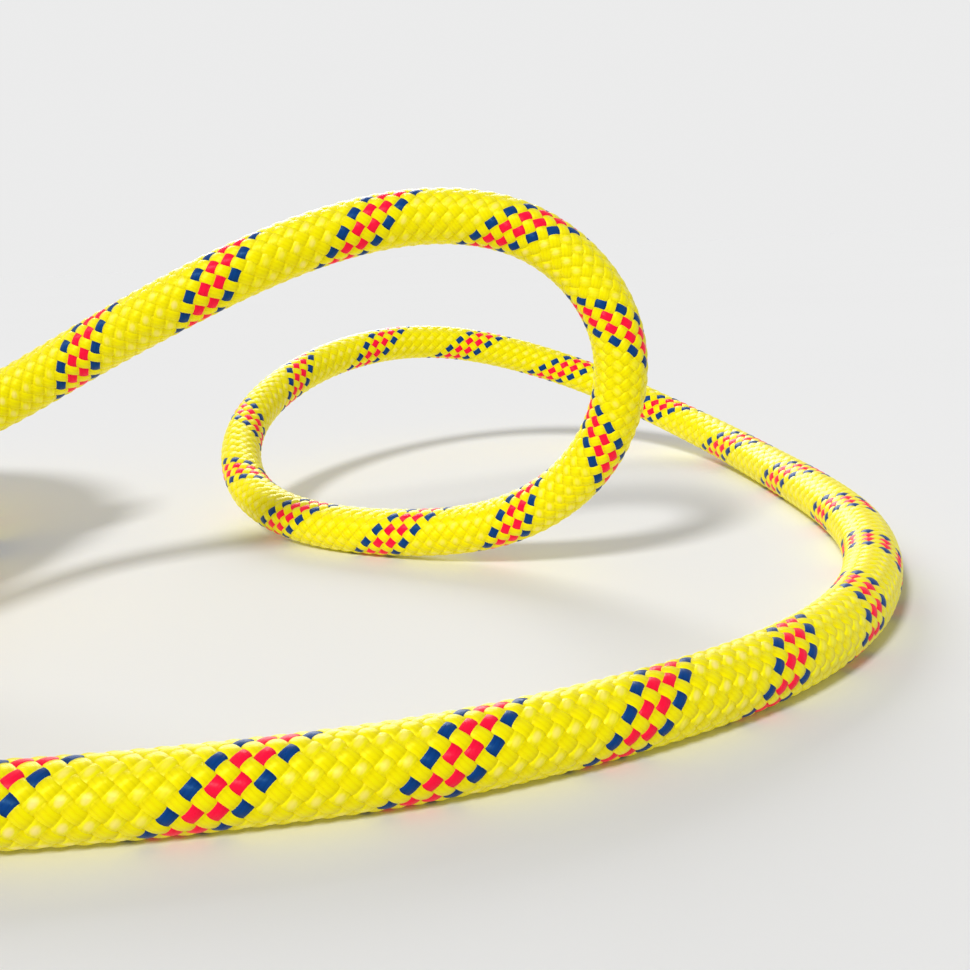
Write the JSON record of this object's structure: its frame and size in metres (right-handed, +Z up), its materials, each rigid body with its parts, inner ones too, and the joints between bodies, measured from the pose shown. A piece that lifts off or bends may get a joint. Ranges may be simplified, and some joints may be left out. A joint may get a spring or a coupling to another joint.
{
  "type": "dynamic climbing rope",
  "caption": "Dynamic climbing rope: braided sheath over a strand core, one end in a loose loop and low arch, the rest wound in a round coil held by fabric ties, with sleeved ends.",
  "frame": {"origin": "middle of the whole part's footprint, on the ground that it lies on", "axes": "+Z up from the ground; +X from the coil towards the loose loop; +Y away from the side on which both rope ends lie"},
  "size_m": [0.3954, 0.2301, 0.0743],
  "materials": {
    "sheath": "braided polyamide, fluorescent yellow with a tracer of two crimson yarns between two navy ones",
    "core": "twisted white polyamide strands",
    "sleeve": "black heat-shrink tube, satin",
    "seal": "melted rope end, smooth and slightly browned",
    "tie": "black woven hook-and-loop tape"
  },
  "bodies": {
    "root": {"sheath_free_stretch": "sheath", "core_strand_01": "core", "core_strand_02": "core", "core_strand_03": "core", "core_strand_04": "core", "core_strand_05": "core", "core_strand_06": "core", "core_strand_07": "core", "core_strand_08": "core", "core_strand_09": "core", "core_strand_10": "core", "core_strand_11": "core", "core_strand_12": "core", "rope_coil": "sheath", "end_sleeve_loop_side": "sleeve", "end_sleeve_coil_side": "sleeve", "end_seal_loop_side": "seal", "end_seal_coil_side": "seal", "tie_strap_1": "tie", "tie_strap_2": "tie", "tie_strap_3": "tie"}
  },
  "joints": []
}
